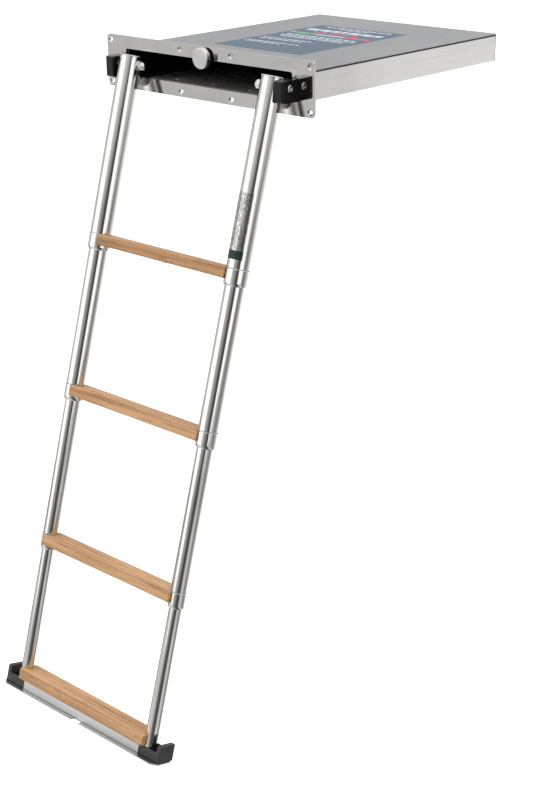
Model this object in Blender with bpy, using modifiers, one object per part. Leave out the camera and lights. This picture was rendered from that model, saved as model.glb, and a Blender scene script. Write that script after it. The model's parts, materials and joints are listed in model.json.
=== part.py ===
"""Telescopic boarding ladder that stows in a flat box under a swim platform.

The drawing frame has its origin at the centre of the flange's front face, with X across
the box, Y from the flange into the box and Z up. Lengths are in millimetres and MM turns
them into metres. The finished object's origin is the centre of the box lid's top face.
The ladder is drawn in its own frame: origin on the fold axis, Z up the stiles, Y towards
the box, so a point at distance u down the stiles has z = -u.
"""
import math

import bmesh
import bpy
from mathutils import Matrix, Vector

MM = 0.001
GAP = 0.3                     # clearance between pieces that touch
OVERCUT = 5.0                 # how far a cutting shape runs past the face it opens

# Flange and its opening
FLANGE_HALF_WIDTH = 220.0
FLANGE_HALF_HEIGHT = 41.5
FLANGE_THICKNESS = 2.5
FLANGE_CORNER = 6.0
OPENING_HALF_WIDTH = 177.0
OPENING_BOTTOM = -20.5
OPENING_TOP = 21.5
SLOT_HALF_WIDTH = 189.2
SLOT_TOP = 13.6
FLANGE_HOLE_X = (-211.5, -54.0, 54.0, 211.5)
FLANGE_HOLE_Z = 33.0
FLANGE_HOLE_R = 2.75
COUNTERSINK_R = 5.2
COUNTERSINK_DEPTH = 2.0

# Box
SHEET = 1.5
BOX_HALF_WIDTH = 194.2
BOX_FRONT = 3.0
BOX_BACK = 500.0
SHELL_BACK = BOX_BACK - SHEET - GAP
BOX_BOTTOM = -22.0
BOX_TOP = 23.0
WALL_TOP = 19.0
SEAL_BOTTOM = WALL_TOP + GAP
SEAL_TOP = BOX_TOP - SHEET - GAP
STUD_NOTCH_HALF_WIDTH = 9.5
STUD_NOTCH_DEPTH = 2.1
RAIL_INNER = 172.5
RAIL_STRIP = 191.3
RAIL_OUTER = 192.4
RAIL_BOTTOM = -20.2
RAIL_LEDGE = 13.3
RAIL_BACK = SHELL_BACK - SHEET - GAP
LINER_HALF_WIDTH = 128.0
LINER_FRONT = 4.0
LINER_BACK = 470.0
LINER_BOTTOM = -20.2
LINER_TOP = -19.3
RIVET_X = (-78.0, 0.0, 78.0)
RIVET_Y = 17.5
RIVET_R = 1.9
RIVET_HEAD_R = 3.6
RIVET_HEAD = 0.6
RIVET_SLOPE = 0.8
RIVET_SEGMENTS = 14

# Locking knob and its stud
KNOB_Z = 24.5
KNOB_R = 16.0
KNOB_FRONT = -12.5
KNOB_BACK = -4.0
KNOB_NECK_R = 7.0
KNOB_NECK_END = -2.6
KNOB_BORE_END = -11.0
KNOB_CHAMFER = 1.4
STUD_R = 4.0
STUD_FRONT = -10.5
STUD_BACK = 3.1
STUD_CHAMFER = 0.8
FOOT_HALF_WIDTH = 9.0
FOOT_FRONT = 2.8
FOOT_BACK = 4.8
FOOT_BOTTOM = 23.3
FOOT_TOP = 38.0
KNOB_WASHER_R = 9.0
KNOB_WASHER_FRONT = -2.3
KNOB_WASHER_BACK = -0.8

# Sliding hinge blocks
SLIDER_INNER = 171.8
SLIDER_OUTER = 188.5
SLIDER_LUG = 191.0
SLIDER_FRONT = -35.0
SLIDER_SHOULDER = 2.8
SLIDER_BACK = 74.0
SLIDER_BOTTOM = -19.7
SLIDER_TOP = 13.0
SLIDER_ROUND = 5.0

# Ladder pose and hinge
HINGE_Y = -15.0
HINGE_Z = 0.5
LEAN = math.radians(16.8)     # stiles from the vertical, out from the boat
STILE_X = 151.2
BOLT_R = 4.0
BORE_R = BOLT_R + GAP
BOLT_HEAD_R = 7.0
BOLT_HEAD = 4.4
BOLT_HEAD_SEAT = 183.8
BOLT_END = 121.4
SOCKET_R = 2.9
SOCKET_DEPTH = 2.4
COUNTERBORE_R = 7.6
THRUST_WASHER = (170.5, 171.5)
THRUST_WASHER_R = 9.0
NUT_WASHER = (130.3, 131.9)
NUT_WASHER_R = 8.0
NUT_SEAT = 130.0
NUT_HEX_END = 123.6
NUT_TIP = 118.4
NUT_HEX_R = 7.5
NUT_DOME_R = 6.2
NUT_BORE_END = 121.0

# Stiles: four telescoping tubes a side, joined by three collars
TUBE_R = (19.0, 16.5, 13.5, 10.75)
TUBE_WALL = 1.2
CAP_TOP = -14.0
CAP_R = 20.0
CAP_THICKNESS = 2.0
CAP_SPIGOT_END = -8.0
COLLAR_U = (272.0, 522.0, 778.0)
COLLAR_LENGTH = 26.0
COLLAR_R = (19.4, 17.0, 14.0)
COLLAR_TAPER = 1.8
COLLAR_TAPER_LENGTH = 6.0
SLEEVE_LENGTH = 40.0
SLEEVE_LIP = 4.0
SLEEVE_LIP_WIDTH = 2.6
FOOT_U = 1047.7

# Steps
STEP_U = COLLAR_U + (1014.0,)
STEP_THICKNESS = 17.0
STEP_HALF_DEPTH = 19.5
STEP_HALF_LENGTH = (141.5, 146.0, 150.5, 150.8)
STEP_ROUND = 2.2
STEP_CORNER = 3.5
NOTCH_GAP = 0.4
BAR_HALF_DEPTH = 10.0
BAR_THICKNESS = 4.0
SCREW_R = 1.8
SCREW_HEAD_R = 3.9
SCREW_HEAD = 2.2
SCREW_LENGTH = 12.0

# Lower end: channel, closing plate and end caps
CHANNEL_HALF_LENGTH = 139.7
CHANNEL_HALF_DEPTH = 13.5
CHANNEL_TOP_U = 1031.3
CHANNEL_END_U = 1047.7
PLATE_TOP_U = 1048.0
PLATE_THICKNESS = 2.0
PLATE_HALF_WIDTH = 187.0
PLATE_HALF_DEPTH = 23.0
PLATE_CHAMFER_X = 12.0
PLATE_CHAMFER_Y = 10.0
PLATE_NOTCH_HALF_WIDTH = 9.5
PLATE_NOTCH_DEPTH = 9.0
ENDCAP_INNER = 140.0
ENDCAP_WALL = 177.5
ENDCAP_OUTER = 185.5
ENDCAP_FRONT = 12.8
ENDCAP_BACK = 20.0
ENDCAP_BASE_U = 1033.0
ENDCAP_RIM = 3.0
ENDCAP_FLOOR = 2.5
ENDCAP_WALL_U = 1020.0
ENDCAP_CHAMFER = 5.0

TUBE_SEGMENTS = 32
KNOB_SEGMENTS = 40
BOLT_SEGMENTS = 24
SMALL_SEGMENTS = 20
SCREW_SEGMENTS = 12

SIDES = (("left", -1), ("right", 1))

LOOKS = {
    "mirror_steel": ((0.72, 0.71, 0.69), 0.10, 1.0),
    "brushed_steel": ((0.60, 0.61, 0.61), 0.32, 1.0),
    "black_plastic": ((0.018, 0.019, 0.021), 0.42, 0.0),
    "black_rubber": ((0.012, 0.012, 0.012), 0.70, 0.0),
    "grey_nylon": ((0.36, 0.36, 0.35), 0.50, 0.0),
    "teak": ((0.50, 0.29, 0.15), 0.62, 0.0),
}


# Scene set-up

def clear_scene():
    for old in list(bpy.data.objects):
        bpy.data.objects.remove(old, do_unlink=True)


def new_collection(name):
    collection = bpy.data.collections.new(name)
    bpy.context.scene.collection.children.link(collection)
    return collection


def new_frame(name, parent=None, location=(0, 0, 0), lean=0.0):
    frame = bpy.data.objects.new(name, None)
    frame.empty_display_size = 0.05
    frame.location = Vector(location) * MM
    frame.rotation_euler = (-lean, 0, 0)
    frame.parent = parent
    PARTS.objects.link(frame)
    return frame


def new_material(name, look):
    colour, roughness, metallic = LOOKS[look]
    material = bpy.data.materials.new(name)
    material.use_nodes = True
    shader = material.node_tree.nodes["Principled BSDF"]
    shader.inputs["Base Color"].default_value = (*colour, 1.0)
    shader.inputs["Roughness"].default_value = roughness
    shader.inputs["Metallic"].default_value = metallic
    material.diffuse_color = (*colour, 1.0)
    return material


def add_part(obj, look, parent):
    """Make a shape one of the ladder's parts."""
    obj.data.materials.append(new_material(obj.name, look))
    obj.parent = parent
    return obj


def combine(part, shape, operation="DIFFERENCE"):
    """Cut, join or intersect a part with a shape drawn in the same frame as the part."""
    shape.parent = part.parent
    shape.display_type = "WIRE"
    shape.hide_render = True
    PARTS.objects.unlink(shape)
    CUTTERS.objects.link(shape)
    boolean = part.modifiers.new(shape.name, "BOOLEAN")
    boolean.operation = operation
    boolean.solver = "EXACT"
    boolean.object = shape
    return part


# Outlines, as lists of (a, b) points

def rounded(points, radii, steps=3):
    """Round the corners of a closed outline; radii is one number or one per corner."""
    if not isinstance(radii, (list, tuple)):
        radii = [radii] * len(points)
    outline = []
    for index, (point, radius) in enumerate(zip(points, radii)):
        corner = Vector(point)
        if not radius:
            outline.append(corner)
            continue
        back = (Vector(points[index - 1]) - corner).normalized()
        ahead = (Vector(points[(index + 1) % len(points)]) - corner).normalized()
        half = back.angle(ahead) / 2
        centre = corner + (back + ahead).normalized() * radius / math.sin(half)
        start = corner + back * radius / math.tan(half) - centre
        end = corner + ahead * radius / math.tan(half) - centre
        turn = start.angle_signed(end)
        for step in range(steps + 1):
            outline.append(centre + Matrix.Rotation(-turn * step / steps, 2) @ start)
    return outline


def rectangle(left, right, low, high):
    return [(left, low), (right, low), (right, high), (left, high)]


def between_stiles(half_length, half_depth, radius, steps=10):
    """Top view of a piece whose hollow ends fit round two stiles of the given radius."""
    reach = min(half_depth, math.sqrt(radius ** 2 - (STILE_X - half_length) ** 2))
    sweep = math.asin(reach / radius)
    end = []
    for step in range(steps + 1):
        angle = sweep * (2 * step / steps - 1)
        end.append((STILE_X - radius * math.cos(angle), radius * math.sin(angle)))
    if reach == half_depth:
        return end + [(-x, y) for x, y in reversed(end)]
    corner = min(STEP_CORNER, 0.7 * (half_depth - reach))
    end = [(half_length, -half_depth), *end, (half_length, half_depth)]
    radii = [corner] + [0] * (len(end) - 2) + [corner]
    return rounded(end + [(-x, y) for x, y in reversed(end)], radii * 2)


# Shapes, drawn in millimetres. An outline or a profile is placed along X, Y or Z.

AXIS_MATRIX = {
    "X": Matrix(((0, 0, 1), (1, 0, 0), (0, 1, 0))),
    "Y": Matrix(((1, 0, 0), (0, 0, -1), (0, 1, 0))),
    "Z": Matrix.Identity(3),
}
AXIS_TURN = {"X": (0, math.pi / 2, 0), "Y": (-math.pi / 2, 0, 0), "Z": (0, 0, 0)}


def new_object(name, bm):
    bmesh.ops.recalc_face_normals(bm, faces=bm.faces[:])
    mesh = bpy.data.meshes.new(name)
    bm.to_mesh(mesh)
    bm.free()
    obj = bpy.data.objects.new(name, mesh)
    PARTS.objects.link(obj)
    return obj


def plate(name, outline, low, high, axis="Z"):
    """Extrude an outline: (x, y) along Z, (x, z) along Y or (y, z) along X."""
    curve = bpy.data.curves.new(name, "CURVE")
    curve.dimensions = "2D"
    curve.fill_mode = "BOTH"
    curve.extrude = (high - low) / 2 * MM
    spline = curve.splines.new("POLY")
    spline.points.add(len(outline) - 1)
    for point, (a, b) in zip(spline.points, outline):
        point.co = (a * MM, b * MM, 0, 1)
    spline.use_cyclic_u = True
    drawn = bpy.data.objects.new(name, curve)
    PARTS.objects.link(drawn)
    evaluated = drawn.evaluated_get(bpy.context.evaluated_depsgraph_get())
    bm = bmesh.new()
    bm.from_mesh(bpy.data.meshes.new_from_object(evaluated))
    bpy.data.objects.remove(drawn)
    bmesh.ops.remove_doubles(bm, verts=bm.verts[:], dist=0.000001)
    bmesh.ops.dissolve_limit(bm, angle_limit=0.001, verts=bm.verts[:], edges=bm.edges[:])
    bmesh.ops.rotate(bm, matrix=AXIS_MATRIX[axis], verts=bm.verts[:])
    middle = (low + high) / 2 * MM
    shift = Vector([middle if letter == axis else 0 for letter in "XYZ"])
    bmesh.ops.translate(bm, vec=shift, verts=bm.verts[:])
    return new_object(name, bm)


def block(name, x, y, z):
    bm = bmesh.new()
    bmesh.ops.create_cube(bm, size=1.0)
    size = Vector([(high - low) * MM for low, high in (x, y, z)])
    bmesh.ops.scale(bm, vec=size, verts=bm.verts[:])
    centre = Vector([(high + low) / 2 * MM for low, high in (x, y, z)])
    bmesh.ops.translate(bm, vec=centre, verts=bm.verts[:])
    return new_object(name, bm)


def place(obj, axis, at, side):
    """Stand a shape drawn along Z on another axis; side -1 points it the other way."""
    obj.rotation_euler = Vector(AXIS_TURN[axis]) * side
    obj.location = Vector(at) * MM
    return obj


def cylinder(name, radius, low, high, segments, axis="Z", at=(0, 0, 0), side=1):
    bm = bmesh.new()
    bmesh.ops.create_cone(
        bm, cap_ends=True, segments=segments, radius1=radius * MM, radius2=radius * MM,
        depth=(high - low) * MM)
    bmesh.ops.translate(bm, vec=(0, 0, (high + low) / 2 * MM), verts=bm.verts[:])
    obj = new_object(name, bm)
    obj.data.shade_smooth()
    obj.data.set_sharp_from_angle(angle=math.radians(40))
    return place(obj, axis, at, side)


def turned(name, profile, segments, axis="Z", at=(0, 0, 0), side=1, closed=False):
    """Spin a (radius, height) profile, which runs from its top round the outside to its foot."""
    mesh = bpy.data.meshes.new(name)
    count = len(profile)
    edges = [(index, (index + 1) % count) for index in range(count if closed else count - 1)]
    mesh.from_pydata([(radius * MM, 0, height * MM) for radius, height in profile], edges, [])
    obj = bpy.data.objects.new(name, mesh)
    PARTS.objects.link(obj)
    screw = obj.modifiers.new("turned", "SCREW")
    screw.axis = "Z"
    screw.steps = segments
    screw.render_steps = segments
    screw.use_merge_vertices = True
    screw.merge_threshold = 0.00001
    screw.use_smooth_shade = True
    return place(obj, axis, at, side)


def ring(name, outer, inner, low, high, segments, axis="Z", at=(0, 0, 0), side=1):
    profile = [(inner, high), (outer, high), (outer, low), (inner, low)]
    return turned(name, profile, segments, axis, at, side, closed=True)


def round_long_edges(obj, offset, segments=2):
    """Round the edges of a step that run its whole length."""
    bm = bmesh.new()
    bm.from_mesh(obj.data)
    edges = [edge for edge in bm.edges if edge.calc_length() > STILE_X * MM]
    bmesh.ops.bevel(
        bm, geom=edges, offset=offset * MM, segments=segments, profile=0.5, affect="EDGES")
    bm.to_mesh(obj.data)
    bm.free()


# Box

def build_box(root):
    outline = rounded(
        rectangle(-FLANGE_HALF_WIDTH, FLANGE_HALF_WIDTH, -FLANGE_HALF_HEIGHT, FLANGE_HALF_HEIGHT),
        FLANGE_CORNER, 5)
    flange = add_part(plate("flange_plate", outline, 0, FLANGE_THICKNESS, "Y"), "mirror_steel", root)
    opening = rounded(
        [(-SLOT_HALF_WIDTH, OPENING_BOTTOM), (SLOT_HALF_WIDTH, OPENING_BOTTOM),
         (SLOT_HALF_WIDTH, SLOT_TOP), (OPENING_HALF_WIDTH, SLOT_TOP),
         (OPENING_HALF_WIDTH, OPENING_TOP), (-OPENING_HALF_WIDTH, OPENING_TOP),
         (-OPENING_HALF_WIDTH, SLOT_TOP), (-SLOT_HALF_WIDTH, SLOT_TOP)],
        [0.5, 0.5, 2.0, 1.0, 4.0, 4.0, 1.0, 2.0])
    combine(flange, plate("flange_opening", opening, -OVERCUT, FLANGE_THICKNESS + OVERCUT,
                          "Y"))
    combine(flange, cylinder("flange_stud_hole", STUD_R + GAP, -OVERCUT,
                             FLANGE_THICKNESS + OVERCUT, SMALL_SEGMENTS, "Y", (0, 0, KNOB_Z)))
    slope = (COUNTERSINK_R - FLANGE_HOLE_R) / COUNTERSINK_DEPTH
    countersunk = [
        (0, FLANGE_THICKNESS + OVERCUT), (FLANGE_HOLE_R, FLANGE_THICKNESS + OVERCUT),
        (FLANGE_HOLE_R, COUNTERSINK_DEPTH), (COUNTERSINK_R + slope * OVERCUT, -OVERCUT),
        (0, -OVERCUT)]
    for x in FLANGE_HOLE_X:
        for z in (-FLANGE_HOLE_Z, FLANGE_HOLE_Z):
            combine(flange, turned("flange_hole", countersunk, SMALL_SEGMENTS, "Y", (x, 0, z)))

    wall = BOX_HALF_WIDTH - SHEET
    channel = [
        (-BOX_HALF_WIDTH, BOX_BOTTOM), (BOX_HALF_WIDTH, BOX_BOTTOM), (BOX_HALF_WIDTH, WALL_TOP),
        (wall, WALL_TOP), (wall, BOX_BOTTOM + SHEET), (-wall, BOX_BOTTOM + SHEET),
        (-wall, WALL_TOP), (-BOX_HALF_WIDTH, WALL_TOP)]
    shell = plate("box_shell", channel, BOX_FRONT, SHELL_BACK, "Y")
    add_part(shell, "brushed_steel", root)

    seal = [
        (-BOX_HALF_WIDTH, BOX_FRONT), (-wall, BOX_FRONT), (-wall, SHELL_BACK - SHEET),
        (wall, SHELL_BACK - SHEET), (wall, BOX_FRONT), (BOX_HALF_WIDTH, BOX_FRONT),
        (BOX_HALF_WIDTH, SHELL_BACK), (-BOX_HALF_WIDTH, SHELL_BACK)]
    add_part(plate("lid_seal", seal, SEAL_BOTTOM, SEAL_TOP), "black_rubber", root)

    notch = STUD_NOTCH_HALF_WIDTH
    lid = [
        (-BOX_HALF_WIDTH, BOX_FRONT), (-notch, BOX_FRONT), (-notch, BOX_FRONT + STUD_NOTCH_DEPTH),
        (notch, BOX_FRONT + STUD_NOTCH_DEPTH), (notch, BOX_FRONT), (BOX_HALF_WIDTH, BOX_FRONT),
        (BOX_HALF_WIDTH, BOX_BACK), (-BOX_HALF_WIDTH, BOX_BACK)]
    lid_plate = add_part(plate("box_lid", lid, BOX_TOP - SHEET, BOX_TOP), "brushed_steel", root)
    combine(lid_plate, block(
        "lid_back_fold", (-BOX_HALF_WIDTH, BOX_HALF_WIDTH), (BOX_BACK - SHEET, BOX_BACK),
        (BOX_BOTTOM, BOX_TOP)), "UNION")

    for side_name, side in SIDES:
        profile = [
            (side * RAIL_STRIP, RAIL_BOTTOM), (side * RAIL_OUTER, RAIL_BOTTOM),
            (side * RAIL_OUTER, SEAL_TOP), (side * RAIL_INNER, SEAL_TOP),
            (side * RAIL_INNER, RAIL_LEDGE), (side * RAIL_STRIP, RAIL_LEDGE)]
        add_part(plate(f"guide_rail_{side_name}", profile, BOX_FRONT, RAIL_BACK, "Y"),
               "black_plastic", root)

    liner = block("floor_liner", (-LINER_HALF_WIDTH, LINER_HALF_WIDTH),
                  (LINER_FRONT, LINER_BACK), (LINER_BOTTOM, LINER_TOP))
    add_part(liner, "black_plastic", root)
    head = LINER_TOP + GAP
    tail = BOX_BOTTOM - GAP
    flat_r = RIVET_HEAD_R - RIVET_SLOPE
    rivet = [
        (0, head + RIVET_HEAD), (flat_r, head + RIVET_HEAD), (RIVET_HEAD_R, head),
        (RIVET_R, head), (RIVET_R, tail), (RIVET_HEAD_R, tail), (flat_r, tail - RIVET_HEAD),
        (0, tail - RIVET_HEAD)]
    for number, x in enumerate(RIVET_X, 1):
        at = (x, RIVET_Y, 0)
        for cut in (shell, liner):
            combine(cut, cylinder("rivet_hole", RIVET_R + GAP, tail - OVERCUT, head + OVERCUT,
                                  RIVET_SEGMENTS, "Z", at))
        add_part(turned(f"liner_rivet_{number}", rivet, RIVET_SEGMENTS, "Z", at),
                 "mirror_steel", root)


# Locking knob

def build_stud(root):
    profile = [
        (0, STUD_BACK), (STUD_R, STUD_BACK), (STUD_R, STUD_FRONT + STUD_CHAMFER),
        (STUD_R - STUD_CHAMFER, STUD_FRONT), (0, STUD_FRONT)]
    stud = add_part(turned("knob_stud", profile, SMALL_SEGMENTS, "Y", (0, 0, KNOB_Z)),
                  "mirror_steel", root)
    foot = rounded(
        rectangle(-FOOT_HALF_WIDTH, FOOT_HALF_WIDTH, FOOT_BOTTOM, FOOT_TOP), [0, 0, 3.0, 3.0])
    combine(stud, plate("stud_foot", foot, FOOT_FRONT, FOOT_BACK, "Y"), "UNION")


def build_knob(washer_frame, knob_frame):
    bore = STUD_R + GAP
    add_part(ring("knob_washer", KNOB_WASHER_R, bore, KNOB_WASHER_FRONT, KNOB_WASHER_BACK,
                TUBE_SEGMENTS, "Y"), "black_plastic", washer_frame)
    profile = [
        (0, KNOB_BORE_END), (bore, KNOB_BORE_END), (bore, KNOB_NECK_END),
        (KNOB_NECK_R, KNOB_NECK_END), (KNOB_NECK_R, KNOB_BACK), (KNOB_R - 0.6, KNOB_BACK),
        (KNOB_R, KNOB_BACK - 0.6), (KNOB_R, KNOB_FRONT + KNOB_CHAMFER),
        (KNOB_R - KNOB_CHAMFER, KNOB_FRONT), (0, KNOB_FRONT)]
    add_part(turned("knob", profile, KNOB_SEGMENTS, "Y"), "brushed_steel", knob_frame)


# Sliding hinge blocks

def build_sliders(carriage):
    """The carriage frame's origin is on the fold axis."""
    low = SLIDER_BOTTOM - HINGE_Z
    high = SLIDER_TOP - HINGE_Z
    front = SLIDER_FRONT - HINGE_Y
    back = SLIDER_BACK - HINGE_Y
    shoulder = SLIDER_SHOULDER - HINGE_Y
    elevation = rounded(
        rectangle(front, back, low, high), [SLIDER_ROUND, 1.5, 1.5, SLIDER_ROUND / 2], 4)
    seat = BOLT_HEAD_SEAT - GAP
    inner_end = SLIDER_INNER - OVERCUT
    outer_end = SLIDER_LUG + OVERCUT
    bolt_hole = [
        (0, outer_end), (COUNTERBORE_R, outer_end), (COUNTERBORE_R, seat), (BORE_R, seat),
        (BORE_R, inner_end), (0, inner_end)]
    for side_name, side in SIDES:
        plan = [
            (SLIDER_INNER, front), (SLIDER_OUTER, front), (SLIDER_OUTER, shoulder),
            (SLIDER_LUG, shoulder), (SLIDER_LUG, back), (SLIDER_INNER, back)]
        plan = rounded([(side * x, y) for x, y in plan], [2.0, 3.5, 0, 0, 1.0, 1.0])
        slider = add_part(plate(f"slider_{side_name}", plan, low, high), "black_plastic", carriage)
        ends = sorted((side * inner_end, side * outer_end))
        combine(slider, plate("slider_elevation", elevation, *ends, "X"), "INTERSECT")
        combine(slider, turned("bolt_hole", bolt_hole, BOLT_SEGMENTS, "X", side=side))


# Upper section: hinge hardware

def build_hinge(section):
    head_end = BOLT_HEAD_SEAT + BOLT_HEAD
    bolt_profile = [
        (0, head_end), (BOLT_HEAD_R - 2.6, head_end), (BOLT_HEAD_R - 1.0, head_end - 1.0),
        (BOLT_HEAD_R, head_end - 2.8), (BOLT_HEAD_R, BOLT_HEAD_SEAT), (BOLT_R, BOLT_HEAD_SEAT),
        (BOLT_R, BOLT_END + 0.8), (BOLT_R - 0.8, BOLT_END), (0, BOLT_END)]
    dome_profile = [(0, NUT_SEAT - SHEET), (NUT_DOME_R, NUT_SEAT - SHEET)]
    for step in range(6):
        angle = math.pi / 2 * step / 5
        radius = NUT_DOME_R * math.cos(angle) if step < 5 else 0
        dome_profile.append(
            (radius, NUT_HEX_END + (NUT_TIP - NUT_HEX_END) * math.sin(angle)))
    for side_name, side in SIDES:
        bolt = add_part(turned(f"hinge_bolt_{side_name}", bolt_profile, BOLT_SEGMENTS, "X",
                               side=side), "mirror_steel", section)
        combine(bolt, cylinder("bolt_socket", SOCKET_R, head_end - SOCKET_DEPTH,
                               head_end + OVERCUT, 6, "X", side=side))
        for name, radius, (low, high), look in (
                ("thrust_washer", THRUST_WASHER_R, THRUST_WASHER, "grey_nylon"),
                ("nut_washer", NUT_WASHER_R, NUT_WASHER, "mirror_steel")):
            add_part(ring(f"{name}_{side_name}", radius, BORE_R, low, high, BOLT_SEGMENTS, "X",
                          side=side), look, section)
        nut = add_part(cylinder(f"dome_nut_{side_name}", NUT_HEX_R, NUT_HEX_END, NUT_SEAT, 6, "X",
                              side=side), "mirror_steel", section)
        combine(nut, turned("nut_dome", dome_profile, 20, "X", side=side), "UNION")
        combine(nut, cylinder("nut_bore", BORE_R, NUT_BORE_END, NUT_SEAT + OVERCUT, SMALL_SEGMENTS,
                              "X", side=side))


# Telescoping sections

def bore_radius(number):
    return TUBE_R[number - 1] - TUBE_WALL


def build_stiles(number, section):
    """Tubes, collars and stop sleeves of one section, left and right."""
    outer = TUBE_R[number - 1]
    top = CAP_TOP + CAP_THICKNESS + GAP
    if number > 1:
        top = COLLAR_U[number - 2] - SLEEVE_LENGTH + SLEEVE_LIP + GAP
    bottom = COLLAR_U[number - 1] - GAP if number < 4 else FOOT_U
    for side_name, side in SIDES:
        foot = (side * STILE_X, 0, 0)
        tube = ring(f"tube_{number}_{side_name}", outer, bore_radius(number), -bottom, -top,
                    TUBE_SEGMENTS, at=foot)
        add_part(tube, "mirror_steel", section)
        if number == 1:
            combine(tube, cylinder("tube_bolt_hole", BORE_R, -outer - OVERCUT, outer + OVERCUT,
                                   SMALL_SEGMENTS, "X", foot))
            build_tube_cap(f"tube_cap_{side_name}", section, foot)
        if number < 4:
            build_collar(f"collar_{number}_{side_name}", number, section, foot)
        if number > 1:
            lip = outer - SLEEVE_LIP_WIDTH
            guide = bore_radius(number - 1) - GAP
            sleeve_top = SLEEVE_LENGTH - COLLAR_U[number - 2]
            sleeve_low = GAP - COLLAR_U[number - 2]
            seat = sleeve_top - SLEEVE_LIP
            sleeve = [
                (lip, sleeve_top), (guide, sleeve_top), (guide, sleeve_low),
                (outer + GAP, sleeve_low), (outer + GAP, seat), (lip, seat)]
            add_part(turned(f"stop_sleeve_{number}_{side_name}", sleeve, TUBE_SEGMENTS, at=foot,
                          closed=True), "grey_nylon", section)


def build_tube_cap(name, section, foot):
    spigot = bore_radius(1) - GAP
    top = -CAP_TOP
    under = top - CAP_THICKNESS
    profile = [
        (0, top), (CAP_R - 0.6, top), (CAP_R, top - 0.6), (CAP_R, under), (spigot, under),
        (spigot, -CAP_SPIGOT_END), (0, -CAP_SPIGOT_END)]
    add_part(turned(name, profile, TUBE_SEGMENTS, at=foot), "mirror_steel", section)


def build_collar(name, number, section, foot):
    top = -COLLAR_U[number - 1]
    low = top - COLLAR_LENGTH
    radius = COLLAR_R[number - 1]
    inner = TUBE_R[number] + GAP
    profile = [
        (inner, top), (radius, top), (radius, low + COLLAR_TAPER_LENGTH),
        (radius - COLLAR_TAPER * 0.3, low + COLLAR_TAPER_LENGTH * 0.4),
        (radius - COLLAR_TAPER, low), (inner, low)]
    add_part(turned(name, profile, TUBE_SEGMENTS, at=foot, closed=True), "mirror_steel", section)


def build_step(number, section):
    """Teak step, the bar let into its underside and the screw that holds them together."""
    top = -STEP_U[number - 1]
    bottom = top - STEP_THICKNESS
    stile = COLLAR_R[number - 1] if number < 4 else TUBE_R[3]
    half_length = STEP_HALF_LENGTH[number - 1]
    outline = between_stiles(half_length, STEP_HALF_DEPTH, stile + NOTCH_GAP)
    step = add_part(plate(f"step_{number}", outline, bottom, top), "teak", section)
    round_long_edges(step, STEP_ROUND)
    head_low = bottom
    if number < 4:
        combine(step, block(
            "bar_groove", (-half_length - OVERCUT, half_length + OVERCUT),
            (-BAR_HALF_DEPTH - GAP, BAR_HALF_DEPTH + GAP),
            (bottom - OVERCUT, bottom + BAR_THICKNESS + GAP)))
        bar_outline = between_stiles(STILE_X - stile, BAR_HALF_DEPTH, stile + GAP)
        bar = plate(f"tread_bar_{number}", bar_outline, bottom, bottom + BAR_THICKNESS)
        add_part(bar, "brushed_steel", section)
        combine(bar, cylinder("bar_screw_hole", SCREW_R + GAP, bottom - OVERCUT,
                              bottom + BAR_THICKNESS + OVERCUT, SCREW_SEGMENTS))
        head_low = bottom - GAP - SCREW_HEAD
    else:
        head_low = -CHANNEL_TOP_U - SHEET - GAP - SCREW_HEAD
    combine(step, cylinder("pilot_hole", SCREW_R + GAP, bottom - OVERCUT, bottom + SCREW_LENGTH,
                           SCREW_SEGMENTS))
    tip = bottom + SCREW_LENGTH - 1
    seat = head_low + SCREW_HEAD
    screw = [
        (0, tip), (SCREW_R, tip - 2), (SCREW_R, seat), (SCREW_HEAD_R, seat),
        (SCREW_HEAD_R, seat - 0.8), (SCREW_HEAD_R - 1.2, head_low), (0, head_low)]
    add_part(turned(f"tread_screw_{number}", screw, SCREW_SEGMENTS), "brushed_steel", section)


# Lower end

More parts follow.
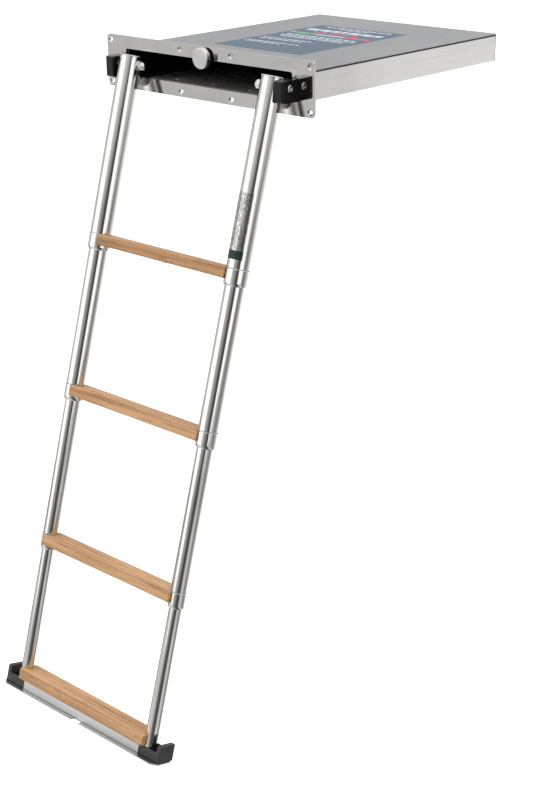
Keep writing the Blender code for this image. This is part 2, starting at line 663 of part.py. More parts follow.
def build_lower_end(section):
    depth = CHANNEL_HALF_DEPTH
    top = -CHANNEL_TOP_U
    low = -CHANNEL_END_U
    profile = rounded(
        [(-depth, top), (-depth, low), (-depth + SHEET, low), (-depth + SHEET, top - SHEET),
         (depth - SHEET, top - SHEET), (depth - SHEET, low), (depth, low), (depth, top)],
        [2.0, 0, 0, 0.5, 0.5, 0, 0, 2.0])
    channel = plate("end_channel", profile, -CHANNEL_HALF_LENGTH, CHANNEL_HALF_LENGTH, "X")
    add_part(channel, "brushed_steel", section)
    combine(channel, cylinder("channel_hole", SCREW_R + GAP, top - OVERCUT, top + OVERCUT,
                              SCREW_SEGMENTS))

    width = PLATE_HALF_WIDTH
    half = PLATE_HALF_DEPTH
    notch = PLATE_NOTCH_HALF_WIDTH
    outline = [
        (-width, -half + PLATE_CHAMFER_Y), (-width + PLATE_CHAMFER_X, -half), (-notch, -half),
        (-notch, -half + PLATE_NOTCH_DEPTH), (notch, -half + PLATE_NOTCH_DEPTH), (notch, -half),
        (width - PLATE_CHAMFER_X, -half), (width, -half + PLATE_CHAMFER_Y),
        (width, half - PLATE_CHAMFER_Y), (width - PLATE_CHAMFER_X, half),
        (-width + PLATE_CHAMFER_X, half), (-width, half - PLATE_CHAMFER_Y)]
    outline = rounded(outline, [1.5, 1.5, 1.0, 2.0, 2.0, 1.0] + [1.5] * 6, 2)
    add_part(plate("closing_plate", outline, -PLATE_TOP_U - PLATE_THICKNESS, -PLATE_TOP_U),
           "brushed_steel", section)

    elevation = rounded(
        [(-ENDCAP_FRONT, -FOOT_U), (ENDCAP_BACK, -FOOT_U), (ENDCAP_BACK, -ENDCAP_WALL_U),
         (-ENDCAP_FRONT, -ENDCAP_WALL_U)],
        [1.0, 1.0, 2.5, ENDCAP_CHAMFER])
    for side_name, side in SIDES:
        reach = sorted((side * ENDCAP_INNER, side * ENDCAP_OUTER))
        cap = plate(f"end_cap_{side_name}", elevation, *reach, "X")
        add_part(cap, "black_plastic", section)
        combine(cap, block(
            "end_cap_step", sorted((side * (ENDCAP_INNER - OVERCUT), side * ENDCAP_WALL)),
            (-ENDCAP_FRONT - OVERCUT, ENDCAP_BACK + OVERCUT),
            (-ENDCAP_BASE_U, -ENDCAP_WALL_U + OVERCUT)))
        plan = rounded(rectangle(*reach, -ENDCAP_FRONT, ENDCAP_BACK), 1.5)
        combine(cap, plate("end_cap_plan", plan, -FOOT_U - OVERCUT, -ENDCAP_WALL_U + OVERCUT),
                "INTERSECT")
        combine(cap, block(
            "end_cap_pocket", sorted((side * (ENDCAP_INNER + ENDCAP_RIM), side * ENDCAP_WALL)),
            (-ENDCAP_FRONT + ENDCAP_RIM, ENDCAP_BACK - ENDCAP_RIM),
            (-FOOT_U + ENDCAP_FLOOR, -ENDCAP_BASE_U + OVERCUT)))
        combine(cap, cylinder("foot_hole", TUBE_R[3] + GAP, -FOOT_U - OVERCUT,
                              -ENDCAP_BASE_U + OVERCUT, TUBE_SEGMENTS,
                              at=(side * STILE_X, 0, 0)))


clear_scene()
PARTS = new_collection("boarding_ladder")
CUTTERS = new_collection("boolean_shapes")

ROOT = new_frame("box_frame", location=(0, -(BOX_FRONT + BOX_BACK) / 2, -BOX_TOP))
build_box(ROOT)
build_stud(ROOT)
WASHER_FRAME = new_frame("knob_washer_frame", ROOT, (0, 0, KNOB_Z))
KNOB_FRAME = new_frame("knob_frame", WASHER_FRAME)
build_knob(WASHER_FRAME, KNOB_FRAME)

CARRIAGE = new_frame("carriage_frame", ROOT, (0, HINGE_Y, HINGE_Z))
build_sliders(CARRIAGE)
SECTION = new_frame("section_1_frame", CARRIAGE, lean=LEAN)
build_hinge(SECTION)
for level in (1, 2, 3, 4):
    if level > 1:
        SECTION = new_frame(f"section_{level}_frame", SECTION)
    build_stiles(level, SECTION)
    build_step(level, SECTION)
build_lower_end(SECTION)
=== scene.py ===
import json
import math

import bmesh
import bpy
from mathutils import Matrix, Vector


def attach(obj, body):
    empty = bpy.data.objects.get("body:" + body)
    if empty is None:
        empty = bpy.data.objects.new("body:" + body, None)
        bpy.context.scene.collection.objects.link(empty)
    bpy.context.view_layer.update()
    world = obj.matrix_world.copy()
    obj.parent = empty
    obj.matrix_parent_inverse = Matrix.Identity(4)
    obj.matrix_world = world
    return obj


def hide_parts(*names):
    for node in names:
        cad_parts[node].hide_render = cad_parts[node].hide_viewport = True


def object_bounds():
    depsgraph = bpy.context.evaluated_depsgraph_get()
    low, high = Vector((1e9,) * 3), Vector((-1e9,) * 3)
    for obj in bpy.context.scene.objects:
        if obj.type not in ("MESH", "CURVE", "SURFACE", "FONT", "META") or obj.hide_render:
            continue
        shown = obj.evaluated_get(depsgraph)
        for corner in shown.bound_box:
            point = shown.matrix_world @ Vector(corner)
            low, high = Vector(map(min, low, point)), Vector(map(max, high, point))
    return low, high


# Looks of a telescopic boarding ladder. Lengths are in metres. The box, blocks and knob are drawn
# in the frame's own axes. The ladder is drawn in its own space: origin on the fold axis, X across,
# Y towards the box and Z up the stiles.

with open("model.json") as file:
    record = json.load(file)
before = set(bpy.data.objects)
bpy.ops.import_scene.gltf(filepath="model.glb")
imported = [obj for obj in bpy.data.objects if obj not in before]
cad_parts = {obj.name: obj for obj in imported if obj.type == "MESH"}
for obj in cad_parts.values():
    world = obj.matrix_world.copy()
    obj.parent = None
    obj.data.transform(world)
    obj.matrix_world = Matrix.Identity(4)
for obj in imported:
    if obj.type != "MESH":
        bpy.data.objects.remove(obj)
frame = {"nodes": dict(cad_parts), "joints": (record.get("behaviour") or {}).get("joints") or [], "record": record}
CAD_LOW, CAD_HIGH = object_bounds()

MM = 0.001
JOINTS = {joint["name"]: joint for joint in frame["joints"]}
BODY = {node: body for body, nodes in frame["record"]["behaviour"]["bodies"].items()
        for node in nodes}

UP_STILES = Vector(JOINTS["telescope_2"]["axis"])
ACROSS = Vector((1, 0, 0))
LADDER = Matrix.Translation(JOINTS["fold"]["pos_m"]) @ Matrix(
    (ACROSS, UP_STILES.cross(ACROSS), UP_STILES)).transposed().to_4x4()
BOX = Matrix.Identity(4)

SIDES = ("left", "right")
ROUND_STEPS = 96                       # faces round a turned piece

# Stiles: sizes that the CAD's boxes don't give
TUBE_WALL = 1.2 * MM
CLEARANCE = 0.3 * MM                   # between a collar or a cap and the tube that it fits
TUBE_EDGE_ROUND = 0.3 * MM
TUBE_END_ROUND = 0.7 * MM              # outer edge of a tube's lower end
COLLAR_BORE_ROUND = 0.2 * MM
COLLAR_TOP_ROUND = 0.8 * MM
COLLAR_TAPER = 1.8 * MM
COLLAR_TAPER_LENGTH = 6 * MM
TAPER_STEPS = 8
CAP_THICKNESS = 2 * MM
CAP_TOP_ROUND, CAP_UNDER_ROUND, SPIGOT_ROUND = 0.8 * MM, 0.5 * MM, 0.4 * MM

# Knob: the hole for its stud, and the neck at its back
KNOB_BORE = 4.3 * MM
KNOB_BORE_SPARE = 0.5 * MM             # depth of the hole past the end of the stud
KNOB_NECK = 7 * MM
KNOB_NECK_LENGTH = 1.4 * MM
KNOB_NECK_ROUND, KNOB_BACK_ROUND, KNOB_FRONT_ROUND = 0.3 * MM, 0.7 * MM, 1.6 * MM

# Camera and light
CAMERA_PLACE = (1.6327, -1.9124, 0.3688)
CAMERA_TURN = (68.19, 0.36, 41.71)
CAMERA_LENS = 67.68
FLOOR_DROP = 0.55                      # of the floor below the ladder's foot
FLOOR_SIZE = 30.0
FLOOR_WHITE = (0.92, 0.92, 0.92)
# The studio's front is the level direction from the ladder to the photograph's camera. Both axes
# are fixed in the scene, so the studio stays where it is in other views.
FRONT = Vector((0.668, -0.744, 0.0))
RIGHT = Vector((0.744, 0.668, 0.0))

# Brightness of the studio that reflections see, as (degrees to the right of its front, level).
# WALLS is the world near the horizon and GROUND the floor.
WALLS = (
    (-180, 0.62), (-108, 0.66), (-98, 1.55), (-54, 1.55), (-49, 0.68), (-25, 0.36), (-6, 0.10),
    (9, 0.06), (14, 1.40), (40, 1.40), (46, 0.52), (75, 0.66), (130, 0.76), (180, 0.62))
GROUND = (
    (-180, 0.60), (-122, 0.62), (-106, 0.26), (-98, 0.32), (-90, 0.66), (-58, 0.70), (-40, 0.60),
    (-22, 0.20), (0, 0.06), (14, 0.12), (22, 0.62), (38, 0.55), (50, 0.22), (70, 0.30),
    (95, 0.80), (135, 1.45), (180, 0.90))
CEILING = 1.15
CEILING_START, CEILING_FULL = 0.22, 0.50   # heights where the walls fade into the ceiling
FULL_LEVEL = 2.0                       # brightness that a colour ramp's 1 stands for
FLOOR_GLOW = 0.4                       # light that keeps the floor white to look at

# Label on the lid: its place, then its rows as (left, right, near, far, dashes, ink) in parts of
# its own width and length
LABEL_LEFT, LABEL_RIGHT = -97 * MM, 88 * MM
LABEL_NEAR, LABEL_FAR = -131.5 * MM, 140.5 * MM
LABEL_FILM = 0.12 * MM
INK_LOW, INK_HIGH = LABEL_FILM + 0.02 * MM, LABEL_FILM + 0.08 * MM
LABEL_ROWS = (
    (0.12, 0.88, 0.940, 0.962, 9, "pale_ink"), (0.34, 0.66, 0.895, 0.915, 4, "pale_ink"),
    (0.06, 0.92, 0.790, 0.850, 7, "pale_ink"), (0.22, 0.72, 0.730, 0.755, 6, "red_ink"),
    (0.04, 0.34, 0.655, 0.680, 1, "green_ink"), (0.34, 0.66, 0.655, 0.680, 1, "pale_ink"),
    (0.66, 0.96, 0.655, 0.680, 1, "red_ink"), (0.10, 0.90, 0.575, 0.597, 11, "pale_ink"),
    (0.08, 0.94, 0.530, 0.552, 12, "pale_ink"), (0.14, 0.86, 0.485, 0.507, 10, "pale_ink"),
    (0.06, 0.62, 0.390, 0.408, 8, "pale_ink"), (0.06, 0.56, 0.350, 0.368, 7, "pale_ink"),
    (0.06, 0.66, 0.250, 0.266, 9, "pale_ink"), (0.06, 0.48, 0.215, 0.231, 6, "pale_ink"))
DASH_GAP = 0.16                        # share of a row that stays blank between its dashes

# Sticker on the front of the right upper tube: its top, the top of its dark band and its end, as
# distances down the stile
STICKER_TOP, STICKER_SPLIT, STICKER_END = 158 * MM, 245 * MM, 258 * MM
STICKER_MIDDLE = -math.pi / 2
STICKER_HALF_ANGLE = math.radians(50)
STICKER_HALF_STEPS = 12
STICKER_GAP = 0.05 * MM
STICKER_FILM = 0.10 * MM


# Node trees

def add_node(tree, kind, inputs=None, **settings):
    """Add a node; an input is a value or another node's output."""
    node = tree.nodes.new(kind)
    for key, value in settings.items():
        setattr(node, key, value)
    for key, value in (inputs or {}).items():
        if isinstance(value, bpy.types.NodeSocket):
            tree.links.new(value, node.inputs[key])
        else:
            node.inputs[key].default_value = value
    return node


def new_look(name, colour, roughness, metallic=0.0, **values):
    """A material with one Principled shader; returns it with its tree and its shader."""
    material = bpy.data.materials.new(name)
    material.use_nodes = True
    tree = material.node_tree
    shader = tree.nodes["Principled BSDF"]
    shader.inputs["Base Color"].default_value = (*colour, 1)
    shader.inputs["Roughness"].default_value = roughness
    shader.inputs["Metallic"].default_value = metallic
    for key, value in values.items():
        shader.inputs[key.replace("_", " ")].default_value = value
    return material, tree, shader


def noise(tree, scale, stretch=(1, 1, 1), detail=3.0, offset=(0, 0, 0), roughness=0.5):
    """Noise in the piece's own space, finer along an axis whose stretch is larger."""
    place = add_node(tree, "ShaderNodeTexCoord").outputs["Object"]
    mapped = add_node(tree, "ShaderNodeMapping",
                      {"Vector": place, "Scale": stretch, "Location": offset})
    return add_node(tree, "ShaderNodeTexNoise", {
        "Vector": mapped.outputs["Vector"], "Scale": scale, "Detail": detail,
        "Roughness": roughness}).outputs["Fac"]


def spread(tree, value, low, high, to_low, to_high):
    return add_node(tree, "ShaderNodeMapRange", {
        "Value": value, "From Min": low, "From Max": high, "To Min": to_low,
        "To Max": to_high}).outputs["Result"]


def tint(tree, value, stops):
    """Colours along a value, as (place, colour) stops."""
    ramp = add_node(tree, "ShaderNodeValToRGB", {"Fac": value})
    elements = ramp.color_ramp.elements
    while len(elements) < len(stops):
        elements.new(1.0)
    for element, (place, colour) in zip(elements, stops):
        element.position = place
        element.color = (*colour, 1)
    return ramp.outputs["Color"]


def blend_colours(tree, share, first, second, mode="MIX"):
    node = add_node(tree, "ShaderNodeMix", data_type="RGBA", blend_type=mode)
    for index, value in ((0, share), (6, first), (7, second)):
        if isinstance(value, bpy.types.NodeSocket):
            tree.links.new(value, node.inputs[index])
        else:
            node.inputs[index].default_value = value if index == 0 else (*value, 1)
    return node.outputs[2]


def bump(tree, shader, height, strength, distance=0.0005):
    node = add_node(tree, "ShaderNodeBump", {
        "Height": height, "Strength": strength, "Distance": distance})
    tree.links.new(node.outputs["Normal"], shader.inputs["Normal"])


# Materials

def polished_steel(name, stretch, painted_shade_dimming=1.0):
    """Mirror-polished stainless steel with fine polishing lines and faint smears. A dimming below 1 darkens its
    whole colour as painted shade.
    """
    material, tree, shader = new_look(name, (0.70, 0.69, 0.665), 0.08, 1.0)
    smears = noise(tree, 14, detail=4, offset=(0.3, 0.7, 0.1))
    lines = noise(tree, 60, stretch, detail=3)
    # Both tones are scaled by the dimming: painted shade, not a different steel.
    dark, light = ([painted_shade_dimming * channel for channel in colour]
                   for colour in ((0.655, 0.645, 0.62), (0.74, 0.73, 0.71)))
    tree.links.new(tint(tree, smears, [(0.30, dark), (0.70, light)]),
                   shader.inputs["Base Color"])
    tree.links.new(spread(tree, smears, 0.3, 0.7, 0.045, 0.10), shader.inputs["Roughness"])
    bump(tree, shader, lines, 0.03, 0.0002)
    return material


def brushed_steel(name, stretch, colour=(0.60, 0.61, 0.615), roughness=0.30, smears=5):
    """Brushed stainless steel, its lines along the axis whose stretch is smallest."""
    material, tree, shader = new_look(name, colour, roughness, 1.0)
    lines = noise(tree, 260, stretch, detail=3, roughness=0.6)
    clouds = noise(tree, smears, detail=4, offset=(0.5, 0.2, 0.9))
    dark = tuple(0.82 * channel for channel in colour)
    light = tuple(min(1.0, 1.12 * channel) for channel in colour)
    tree.links.new(blend_colours(
        tree, 0.60, tint(tree, lines, [(0.25, dark), (0.75, light)]),
        tint(tree, clouds, [(0.32, dark), (0.66, light)])), shader.inputs["Base Color"])
    tree.links.new(spread(tree, clouds, 0.30, 0.70, roughness - 0.06, roughness + 0.08),
                   shader.inputs["Roughness"])
    bump(tree, shader, lines, 0.03, 0.0001)
    return material


def moulded_plastic(name, colour, low, high, grain=900, depth=0.12, shine=0.5):
    """Plastic with a fine moulded grain and uneven gloss."""
    material, tree, shader = new_look(name, colour, (low + high) / 2, Specular_IOR_Level=shine)
    clouds = noise(tree, 25, detail=4)
    dark = tuple(0.75 * channel for channel in colour)
    light = tuple(1.35 * channel for channel in colour)
    tree.links.new(tint(tree, clouds, [(0.30, dark), (0.70, light)]),
                   shader.inputs["Base Color"])
    tree.links.new(spread(tree, clouds, 0.3, 0.7, low, high), shader.inputs["Roughness"])
    bump(tree, shader, noise(tree, grain, detail=2), depth, 0.0002)
    return material


def teak(name, offset):
    """Oiled teak: long figure, darker growth lines and short open pores along X."""
    material, tree, shader = new_look(name, (0.50, 0.28, 0.13), 0.5)
    figure = noise(tree, 30, (0.14, 1.0, 1.6), detail=5, offset=offset, roughness=0.55)
    growth = noise(tree, 150, (0.030, 1.6, 1.0), detail=3, offset=offset, roughness=0.5)
    pores = noise(tree, 700, (0.05, 1.0, 1.0), detail=2, offset=offset)
    body = tint(tree, figure, [
        (0.28, (0.36, 0.185, 0.080)), (0.48, (0.52, 0.285, 0.130)),
        (0.72, (0.62, 0.370, 0.185))])
    lined = blend_colours(tree, 0.55, body, tint(tree, growth, [
        (0.38, (0.48, 0.40, 0.33)), (0.55, (1.0, 1.0, 1.0))]), "MULTIPLY")
    pored = blend_colours(tree, 0.45, lined, tint(tree, pores, [
        (0.34, (0.30, 0.22, 0.16)), (0.44, (1.0, 1.0, 1.0))]), "MULTIPLY")
    tree.links.new(pored, shader.inputs["Base Color"])
    tree.links.new(spread(tree, growth, 0.3, 0.7, 0.62, 0.46), shader.inputs["Roughness"])
    bump(tree, shader, growth, 0.25, 0.0004)
    return material


def ink(name, colour):
    """Printed film: nearly even colour under a soft gloss."""
    material, tree, shader = new_look(name, colour, 0.35, Specular_IOR_Level=0.3)
    clouds = noise(tree, 40, detail=3)
    dark = tuple(0.88 * channel for channel in colour)
    light = tuple(min(1.0, 1.10 * channel) for channel in colour)
    tree.links.new(tint(tree, clouds, [(0.3, dark), (0.7, light)]), shader.inputs["Base Color"])
    tree.links.new(spread(tree, clouds, 0.3, 0.7, 0.30, 0.42), shader.inputs["Roughness"])
    return material


def printed_rows(name):
    """Clear film on polished steel, printed with broken grey rows."""
    material, tree, shader = new_look(name, (0.62, 0.61, 0.59), 0.16, 1.0)
    place = add_node(tree, "ShaderNodeTexCoord").outputs["Object"]
    rows = add_node(tree, "ShaderNodeTexWave", {
        "Vector": place, "Scale": 170, "Distortion": 0.0}, bands_direction="Z").outputs["Fac"]
    breaks = noise(tree, 420, (1.0, 1.0, 0.4), detail=1)
    share = add_node(tree, "ShaderNodeMath", {
        0: spread(tree, rows, 0.45, 0.60, 0.0, 1.0),
        1: spread(tree, breaks, 0.42, 0.50, 0.0, 1.0)}, operation="MULTIPLY").outputs[0]
    tree.links.new(blend_colours(tree, share, (0.62, 0.61, 0.59), (0.06, 0.065, 0.065)),
                   shader.inputs["Base Color"])
    tree.links.new(spread(tree, share, 0, 1, 0.12, 0.45), shader.inputs["Roughness"])
    return material


LOOKS = {
    # The flange takes a dimmed copy of the tubes' polished steel: painted shade for the darker studio that its
    # mirror face reflects.
    "flange": polished_steel("flange_polished_steel_painted_shade", (0.05, 1.0, 1.0), 0.86),
    "tube": polished_steel("tube_polished_steel", (1.0, 1.0, 0.05)),
    "small": polished_steel("small_polished_steel", (1.0, 1.0, 1.0)),
    "lid": brushed_steel("lid_brushed_steel", (1.0, 0.02, 1.0), (0.375, 0.390, 0.410), 0.24),
    "shell": brushed_steel("shell_brushed_steel", (1.0, 0.02, 1.0), (0.70, 0.69, 0.665), 0.27),
    "plate": brushed_steel("plate_brushed_steel", (0.02, 1.0, 1.0), (0.58, 0.585, 0.58), 0.30),
    "knob": brushed_steel("knob_brushed_steel", (1.0, 1.0, 0.3), (0.66, 0.655, 0.645), 0.20, 12),
    "rivet": brushed_steel("rivet_satin_steel", (1.0, 1.0, 1.0), (0.85, 0.85, 0.85), 0.5),
    "block": moulded_plastic("black_block_plastic", (0.006, 0.0062, 0.0065), 0.22, 0.34,
                             700, 0.08, 0.32),
    "plastic": moulded_plastic("black_cap_plastic", (0.024, 0.024, 0.023), 0.38, 0.50),
    "liner": moulded_plastic("black_liner", (0.11, 0.108, 0.104), 0.22, 0.36, 300, 0.04),
    "rubber": moulded_plastic("black_rubber", (0.010, 0.010, 0.010), 0.6, 0.8),
    "nylon": moulded_plastic("grey_nylon", (0.36, 0.36, 0.35), 0.42, 0.55),
    "blue_ink": ink("blue_ink", (0.030, 0.062, 0.105)),
    "pale_ink": ink("pale_ink", (0.42, 0.46, 0.50)),
    "green_ink": ink("green_ink", (0.13, 0.40, 0.16)),
    "red_ink": ink("red_ink", (0.55, 0.075, 0.085)),
    "dark_green_ink": ink("dark_green_ink", (0.010, 0.035, 0.026)),
    "printed_rows": printed_rows("printed_rows"),
}


# Pieces

def space_of(node):
    return LADDER if BODY[node].startswith("section") else BOX


def local_box(node):
    """Lowest and highest corner of a CAD node in the space that it is drawn in."""
    inverse = space_of(node).inverted()
    points = [inverse @ vertex.co for vertex in frame["nodes"][node].data.vertices]
    return (Vector([min(point[axis] for point in points) for axis in range(3)]),
            Vector([max(point[axis] for point in points) for axis in range(3)]))


def width_radius(node):
    low, high = local_box(node)
    return (high.x - low.x) / 2


def new_piece(name, bm, node, looks, place, stands_for=True):
    """Make a mesh a piece that rides with a CAD node's body and has the given looks as its materials."""
    bmesh.ops.recalc_face_normals(bm, faces=bm.faces[:])
    mesh = bpy.data.meshes.new(name)
    bm.to_mesh(mesh)
    bm.free()
    mesh.shade_smooth()
    mesh.set_sharp_from_angle(angle=math.radians(50))
    for look in looks:
        mesh.materials.append(look)
    piece = bpy.data.objects.new(name, mesh)
    bpy.context.scene.collection.objects.link(piece)
    piece.matrix_world = place
    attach(piece, BODY[node])
    if stands_for:
        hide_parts(node)
    return piece


def even_shading(piece):
    shading = piece.modifiers.new("even_shading", "WEIGHTED_NORMAL")
    shading.keep_sharp = True
    shading.weight = 100


def soften(piece, width, segments=2):
    """Round a piece's edges a little and keep its flat faces flat."""
    edges = piece.modifiers.new("soft_edges", "BEVEL")
    edges.width = width
    edges.segments = segments
    edges.limit_method = "ANGLE"
    edges.angle_limit = math.radians(35)
    even_shading(piece)


def refined(node, look, edge):
    """The CAD shape with its triangles merged into flat faces and its edges softened."""
    place = space_of(node)
    bm = bmesh.new()
    bm.from_mesh(frame["nodes"][node].data)
    bm.transform(place.inverted())
    bmesh.ops.remove_doubles(bm, verts=bm.verts[:], dist=0.002 * MM)
    bmesh.ops.dissolve_limit(bm, angle_limit=math.radians(0.5), verts=bm.verts[:],
                             edges=bm.edges[:])
    clean = bmesh.new()
    copies = {vertex: clean.verts.new(vertex.co) for vertex in bm.verts}
    for face in bm.faces:
        clean.faces.new([copies[vertex] for vertex in face.verts])
    bm.free()
    piece = new_piece(f"{node}_finished", clean, node, [look], place)
    soften(piece, edge)
    return piece


def rounded(points, radius, steps=3):
    """Round the corners of a closed outline; radius is one number or one per corner."""
    radii = radius if isinstance(radius, (list, tuple)) else [radius] * len(points)
    outline = []
    for index, (point, size) in enumerate(zip(points, radii)):
        corner = Vector(point)
        if not size:
            outline.append(corner)
            continue
        back = (Vector(points[index - 1]) - corner).normalized()
        ahead = (Vector(points[(index + 1) % len(points)]) - corner).normalized()
        half = back.angle(ahead) / 2
        centre = corner + (back + ahead).normalized() * size / math.sin(half)
        start = corner + back * size / math.tan(half) - centre
        turn = start.angle_signed(corner + ahead * size / math.tan(half) - centre)
        for step in range(steps + 1):
            outline.append(centre + Matrix.Rotation(-turn * step / steps, 2) @ start)
    return outline


def turned(node, look, profile, place, closed=False):
    """Spin a (radius, height) profile round the Z axis of a place."""
    bm = bmesh.new()
    verts = [bm.verts.new((radius, 0, height)) for radius, height in profile]
    edges = [bm.edges.new(pair) for pair in zip(verts, verts[1:])]
    if closed:
        edges.append(bm.edges.new((verts[-1], verts[0])))
    bmesh.ops.spin(bm, geom=verts + edges, cent=(0, 0, 0), axis=(0, 0, 1),
                   angle=math.tau, steps=ROUND_STEPS, use_merge=True)
    bmesh.ops.remove_doubles(bm, verts=bm.verts[:], dist=0.005 * MM)
    piece = new_piece(f"{node}_finished", bm, node, [look], place)
    even_shading(piece)
    return piece


# Stiles

def stile_place(low, high):
    return LADDER @ Matrix.Translation(((low.x + high.x) / 2, 0, 0))


def build_tubes():
    for side in SIDES:
        for number in (1, 2, 3, 4):
            node = f"tube_{number}_{side}"
            low, high = local_box(node)
            outer = width_radius(node)
            inner = outer - TUBE_WALL
            profile = rounded(
                [(inner, high.z), (outer, high.z), (outer, low.z), (inner, low.z)],
                [TUBE_EDGE_ROUND, TUBE_EDGE_ROUND, TUBE_END_ROUND, TUBE_EDGE_ROUND], 4)
            turned(node, LOOKS["tube"], profile, stile_place(low, high), closed=True)


def build_collars():
    for side in SIDES:
        for number in (1, 2, 3):
            node = f"collar_{number}_{side}"
            low, high = local_box(node)
            outer = width_radius(node)
            inner = width_radius(f"tube_{number + 1}_{side}") + CLEARANCE
            shoulder = rounded([(inner, high.z), (outer, high.z), (outer, low.z), (inner, low.z)],
                               [COLLAR_BORE_ROUND, COLLAR_TOP_ROUND, 0, 0], 4)
            taper = []
            for step in range(TAPER_STEPS + 1):
                angle = math.radians(90 * step / TAPER_STEPS)
                taper.append((outer - COLLAR_TAPER * (1 - math.cos(angle)),
                              low.z + COLLAR_TAPER_LENGTH * (1 - math.sin(angle))))
            profile = shoulder[:-2] + taper + [(inner, low.z)]
            turned(node, LOOKS["tube"], profile, stile_place(low, high), closed=True)


def build_tube_caps():
    for side in SIDES:
        node = f"tube_cap_{side}"
        low, high = local_box(node)
        outer = width_radius(node)
        under = high.z - CAP_THICKNESS
        spigot = width_radius(f"tube_1_{side}") - TUBE_WALL - CLEARANCE
        profile = rounded(
            [(0, high.z), (outer, high.z), (outer, under), (spigot, under), (spigot, low.z),
             (0, low.z)], [0, CAP_TOP_ROUND, CAP_UNDER_ROUND, 0, SPIGOT_ROUND, 0], 4)
        turned(node, LOOKS["small"], profile, stile_place(low, high))


# Knob

def build_knob():
    low, high = local_box("knob")
    centre = (low + high) / 2
    outer = width_radius("knob")
    bore_end = local_box("knob_stud")[0].y - KNOB_BORE_SPARE
    back = high.y - KNOB_NECK_LENGTH
    place = Matrix.Translation((centre.x, 0, centre.z)) @ Matrix.Rotation(-math.pi / 2, 4, "X")
    profile = rounded(
        [(0, bore_end), (KNOB_BORE, bore_end), (KNOB_BORE, high.y), (KNOB_NECK, high.y),
         (KNOB_NECK, back), (outer, back), (outer, low.y), (0, low.y)],
        [0, 0, 0, KNOB_NECK_ROUND, 0, KNOB_BACK_ROUND, KNOB_FRONT_ROUND, 0], 5)
    turned("knob", LOOKS["knob"], profile, place)


# Label and sticker

def slab(bm, x, y, z, material_index):
    """Add a thin rectangular slab to a mesh."""
    made = bmesh.ops.create_cube(bm, size=1.0)["verts"]
    size = [high - low for low, high in (x, y, z)]
    bmesh.ops.scale(bm, vec=size, verts=made)
    bmesh.ops.translate(bm, vec=[(high + low) / 2 for low, high in (x, y, z)], verts=made)
    for face in {face for vertex in made for face in vertex.link_faces}:
        face.material_index = material_index


def dashes_in(left, right, count):
    """Split a row into dashes of uneven length, with gaps between them."""
    if count == 1:
        return [(left, right)]
    weights = [2 + (3 * index + count) % 4 for index in range(count)]
    unit = (right - left) * (1 - DASH_GAP) / sum(weights)
    gap = (right - left) * DASH_GAP / (count - 1)
    spans = []
    for weight in weights:
        spans.append((left, left + weight * unit))
        left += weight * unit + gap
    return spans


def build_label():
    inks = ["blue_ink"] + sorted({row[-1] for row in LABEL_ROWS})
    bm = bmesh.new()
    slab(bm, (LABEL_LEFT, LABEL_RIGHT), (LABEL_NEAR, LABEL_FAR), (0, LABEL_FILM), 0)
    width = LABEL_RIGHT - LABEL_LEFT
    length = LABEL_FAR - LABEL_NEAR
    for left, right, near, far, count, colour in LABEL_ROWS:
        for start, end in dashes_in(left, right, count):
            slab(bm, (LABEL_LEFT + start * width, LABEL_LEFT + end * width),
                 (LABEL_NEAR + near * length, LABEL_NEAR + far * length),
                 (INK_LOW, INK_HIGH), inks.index(colour))
    new_piece("lid_label", bm, "box_lid", [LOOKS[name] for name in inks], BOX, False)


def build_sticker():
    low, high = local_box("tube_1_right")
    inner = width_radius("tube_1_right") + STICKER_GAP
    bm = bmesh.new()
    rows = []
    for down in (STICKER_TOP, STICKER_SPLIT, STICKER_END):
        for radius in (inner, inner + STICKER_FILM):
            row = []
            for step in range(2 * STICKER_HALF_STEPS + 1):
                angle = STICKER_MIDDLE + STICKER_HALF_ANGLE * (step / STICKER_HALF_STEPS - 1)
                row.append(bm.verts.new(
                    (radius * math.cos(angle), radius * math.sin(angle), -down)))
            rows.append(row)
    faces = []
    for first, second, index in ((0, 2, 0), (1, 3, 0), (2, 4, 1), (3, 5, 1), (0, 1, 0), (4, 5, 1)):
        for a, b, c, d in zip(rows[first], rows[first][1:], rows[second][1:], rows[second]):
            faces.append((bm.faces.new((a, b, c, d)), index))
    for step in (0, -1):
        for first, index in ((0, 0), (2, 1)):
            corners = [rows[row][step] for row in (first, first + 1, first + 3, first + 2)]
            faces.append((bm.faces.new(corners), index))
    for face, index in faces:
        face.material_index = index
    new_piece("tube_sticker", bm, "tube_1_right",
              [LOOKS["printed_rows"], LOOKS["dark_green_ink"]], stile_place(low, high), False)


# Stage

def build_camera():
    data = bpy.data.cameras.new("camera")
    data.lens = CAMERA_LENS
    data.clip_end = 100
    camera = bpy.data.objects.new("camera", data)
    camera.location = CAMERA_PLACE
    camera.rotation_euler = [math.radians(angle) for angle in CAMERA_TURN]
    bpy.context.scene.collection.objects.link(camera)
    bpy.context.scene.camera = camera


def studio_level(tree, place, levels):
    """Grey by compass direction of a place, as a share of FULL_LEVEL."""
    side, near = (add_node(tree, "ShaderNodeVectorMath", {0: place, 1: axis},
                           operation="DOT_PRODUCT").outputs["Value"] for axis in (RIGHT, FRONT))
    angle = add_node(tree, "ShaderNodeMath", {0: side, 1: near}, operation="ARCTAN2").outputs[0]
    share = spread(tree, angle, -math.pi, math.pi, 0, 1)
    return tint(tree, share, [
        (degrees / 360 + 0.5, [level / FULL_LEVEL] * 3) for degrees, level in levels])


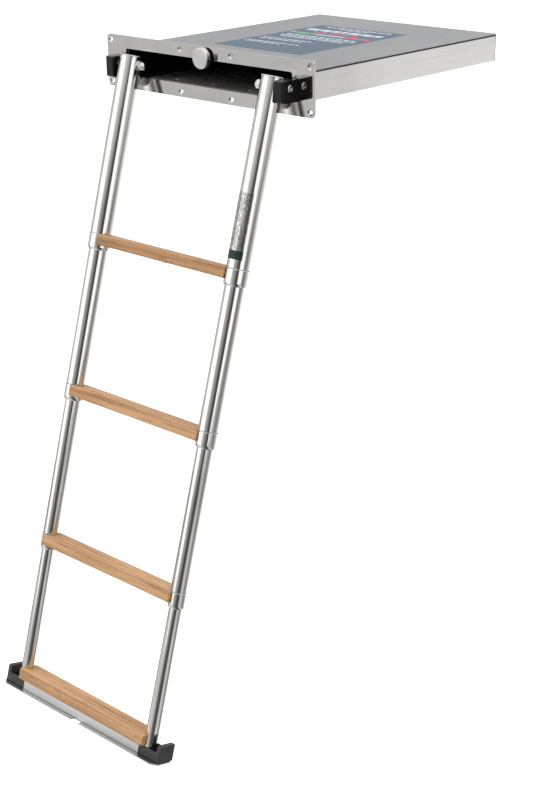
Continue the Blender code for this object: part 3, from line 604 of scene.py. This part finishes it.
def build_floor():
    """A plain white floor, which reflections see in the greys of GROUND."""
    bm = bmesh.new()
    bmesh.ops.create_grid(bm, x_segments=1, y_segments=1, size=FLOOR_SIZE / 2)
    mesh = bpy.data.meshes.new("floor")
    bm.to_mesh(mesh)
    bm.free()
    floor = bpy.data.objects.new("floor", mesh)
    floor.location.z = CAD_LOW.z - FLOOR_DROP
    material, tree, shader = new_look("floor_white", FLOOR_WHITE, 1.0)
    place = add_node(tree, "ShaderNodeTexCoord").outputs["Object"]
    seen = add_node(tree, "ShaderNodeLightPath").outputs["Is Camera Ray"]
    lit = add_node(tree, "ShaderNodeVectorMath", {
        0: studio_level(tree, place, GROUND), 1: [FULL_LEVEL] * 3},
        operation="MULTIPLY").outputs[0]
    tree.links.new(blend_colours(tree, seen, lit, FLOOR_WHITE), shader.inputs["Base Color"])
    shader.inputs["Specular IOR Level"].default_value = 0.0
    shader.inputs["Emission Color"].default_value = (1, 1, 1, 1)
    tree.links.new(spread(tree, seen, 0, 1, 0, FLOOR_GLOW), shader.inputs["Emission Strength"])
    mesh.materials.append(material)
    bpy.context.scene.collection.objects.link(floor)


def build_light(name, place, aim, size, power):
    data = bpy.data.lights.new(name, "AREA")
    data.shape = "RECTANGLE"
    data.size, data.size_y = size
    data.energy = power
    light = bpy.data.objects.new(name, data)
    light.location = place
    light.rotation_euler = (Vector(aim) - Vector(place)).to_track_quat("-Z", "Y").to_euler()
    light.visible_glossy = False
    bpy.context.scene.collection.objects.link(light)


def build_world():
    """White to look at. Reflections see bright banks, grey walls and a dark front."""
    world = bpy.data.worlds.new("studio")
    world.use_nodes = True
    tree = world.node_tree
    background = tree.nodes["Background"]
    direction = add_node(tree, "ShaderNodeTexCoord").outputs["Generated"]
    height = add_node(tree, "ShaderNodeSeparateXYZ", {"Vector": direction}).outputs["Z"]
    overhead = spread(tree, height, CEILING_START, CEILING_FULL, 0, 1)
    studio = blend_colours(tree, overhead, studio_level(tree, direction, WALLS),
                           [CEILING / FULL_LEVEL] * 3)
    seen = add_node(tree, "ShaderNodeLightPath").outputs["Is Camera Ray"]
    tree.links.new(blend_colours(tree, seen, studio, [1 / FULL_LEVEL] * 3),
                   background.inputs["Color"])
    background.inputs["Strength"].default_value = FULL_LEVEL
    bpy.context.scene.world = world


build_camera()
build_world()
build_floor()
build_light("overhead", (-0.4, 0.4, 2.6), (0, -0.3, -0.4), (2.4, 2.4), 60)
build_light("left_bank", (-2.6, -1.8, 0.8), (0, -0.4, -0.5), (1.2, 2.4), 30)
bpy.context.scene.view_settings.view_transform = "Standard"

for node, look, edge in (
        ("flange_plate", "flange", 0.30 * MM), ("box_shell", "shell", 0.35 * MM),
        ("box_lid", "lid", 0.25 * MM), ("lid_seal", "rubber", 0.20 * MM),
        ("floor_liner", "liner", 0.15 * MM), ("knob_stud", "small", 0.15 * MM),
        ("knob_washer", "plastic", 0.20 * MM), ("end_channel", "plate", 0.30 * MM),
        ("closing_plate", "plate", 0.30 * MM)):
    refined(node, LOOKS[look], edge)
for side in SIDES:
    for name, look, edge in (
            ("guide_rail", "block", 0.25 * MM), ("slider", "block", 1.40 * MM),
            ("hinge_bolt", "small", 0.20 * MM), ("thrust_washer", "nylon", 0.15 * MM),
            ("nut_washer", "small", 0.20 * MM), ("dome_nut", "small", 0.20 * MM),
            *((f"stop_sleeve_{number}", "nylon", 0.20 * MM) for number in (2, 3, 4)),
            ("end_cap", "plastic", 0.50 * MM)):
        refined(f"{name}_{side}", LOOKS[look], edge)
for number in (1, 2, 3):
    refined(f"liner_rivet_{number}", LOOKS["rivet"], 0.15 * MM)
    refined(f"tread_bar_{number}", LOOKS["plate"], 0.25 * MM)
for number in (1, 2, 3, 4):
    offset = (0.37 * number, 0.11 * number, 0.23 * number)
    refined(f"step_{number}", teak(f"teak_{number}", offset), 0.8 * MM)
    refined(f"tread_screw_{number}", LOOKS["small"], 0.15 * MM)
build_tubes()
build_collars()
build_tube_caps()
build_knob()
build_label()
build_sticker()
